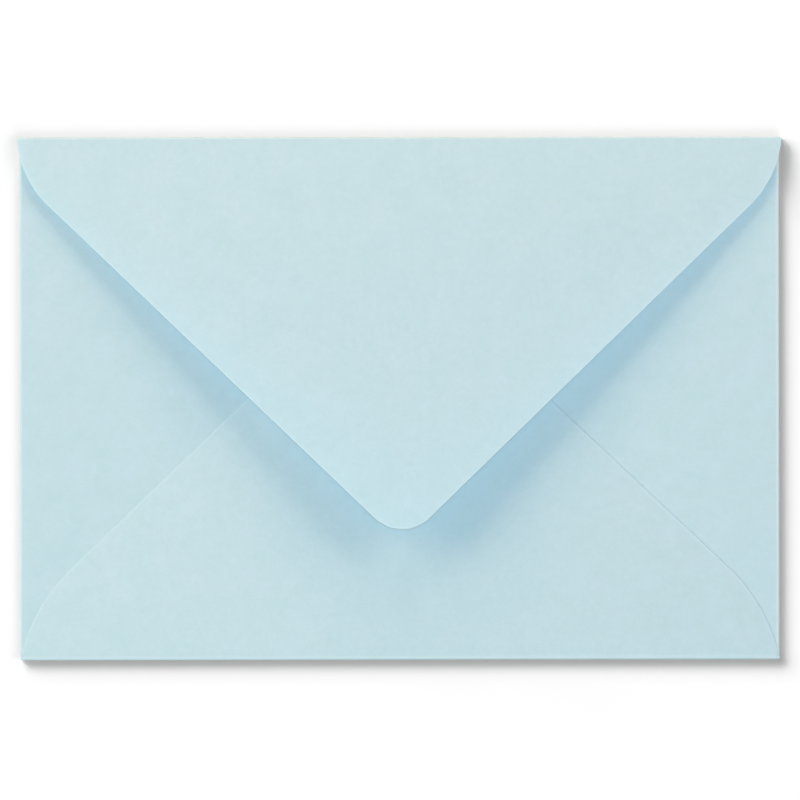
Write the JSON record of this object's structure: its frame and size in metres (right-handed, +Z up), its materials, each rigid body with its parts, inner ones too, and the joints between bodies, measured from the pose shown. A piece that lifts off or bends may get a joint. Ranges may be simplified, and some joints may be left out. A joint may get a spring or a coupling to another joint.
{
  "type": "paper envelope",
  "caption": "Pale blue paper envelope with a pointed, round-tipped seal flap that springs up a little, over a pocket of glued side and bottom flaps.",
  "frame": {"origin": "under the middle of the address side, in the plane that the envelope lies on", "axes": "+Z up out of the flap side, +Y towards the fold of the top flap, +X to the right with the flaps up and the top fold away from the viewer"},
  "size_m": [0.163, 0.1114, 0.0076],
  "materials": {
    "paper": "matte uncoated paper dyed pale blue, the same colour on both sides"
  },
  "bodies": {
    "root": {"envelope": "paper"}
  },
  "joints": []
}
